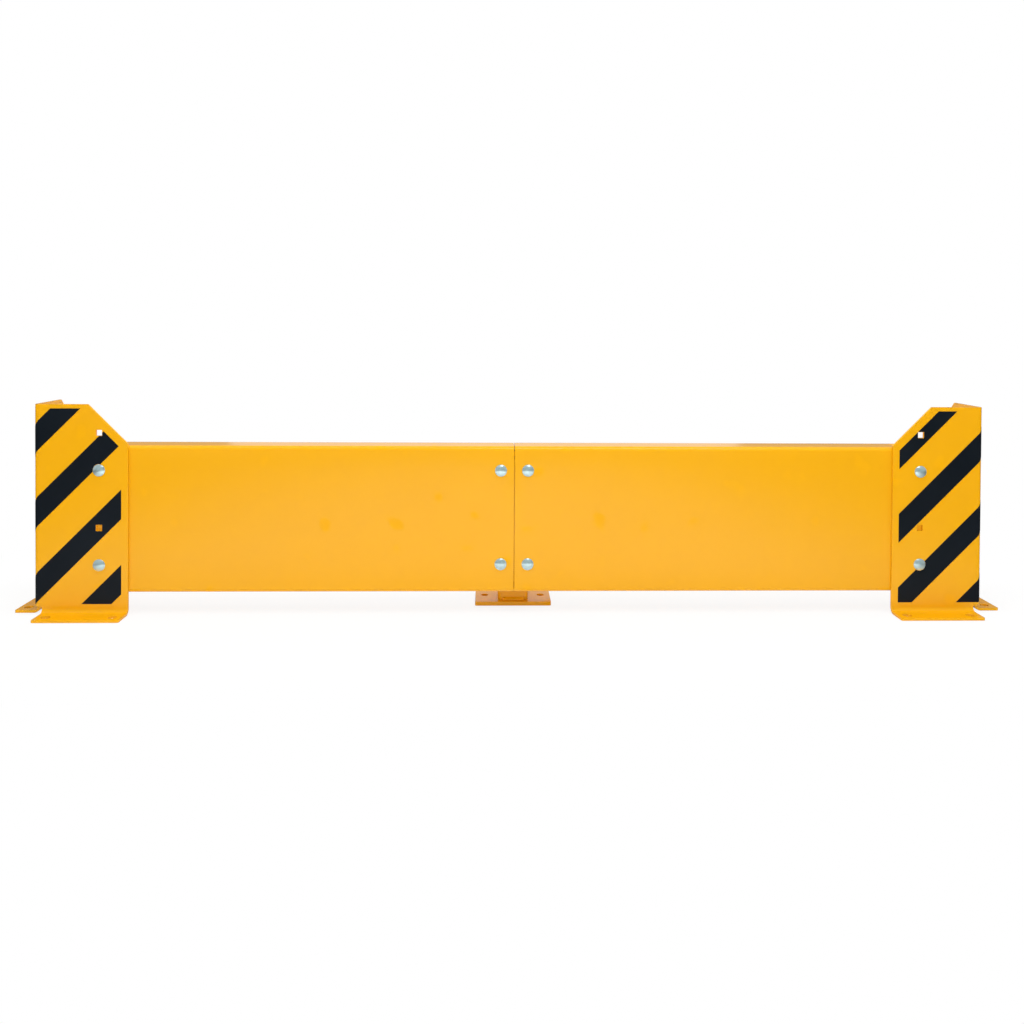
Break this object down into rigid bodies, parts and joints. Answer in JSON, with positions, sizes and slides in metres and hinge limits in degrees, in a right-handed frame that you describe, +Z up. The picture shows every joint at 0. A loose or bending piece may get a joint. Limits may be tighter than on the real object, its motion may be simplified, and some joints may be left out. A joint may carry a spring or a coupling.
{
  "type": "rack column guard",
  "caption": "Low floor-mounted rack barrier: folded steel corner guards with hazard stripes, joined by bolted channel panels that meet on a floor post.",
  "frame": {"origin": "on the floor, under the middle of the whole assembly's box", "axes": "+X along the barrier to the right as seen from the aisle, +Y from the aisle to the rack behind it, +Z up"},
  "size_m": [1.903, 0.22, 0.4],
  "materials": {
    "yellow_paint": "semi-gloss powder coat, signal yellow, with a faint orange peel",
    "zinc_plating": "bright blue-white zinc plating",
    "black_film": "satin self-adhesive film",
    "black_plastic": "moulded, fine grain"
  },
  "bodies": {
    "root": {"left_corner_guard": "yellow_paint", "right_corner_guard": "yellow_paint", "left_panel": "yellow_paint", "right_panel": "yellow_paint", "post_tube": "yellow_paint", "post_base_plate": "yellow_paint", "post_base_weld": "yellow_paint", "post_cap": "black_plastic", "joint_bracket": "yellow_paint", "bracket_welds": "yellow_paint", "left_hazard_stripes": "black_film", "right_hazard_stripes": "black_film", "left_guard_bolts": "zinc_plating", "left_guard_washers": "zinc_plating", "left_guard_nuts": "zinc_plating", "right_guard_bolts": "zinc_plating", "right_guard_washers": "zinc_plating", "right_guard_nuts": "zinc_plating", "centre_bolts": "zinc_plating", "centre_washers": "zinc_plating", "centre_nuts": "zinc_plating"}
  },
  "joints": []
}
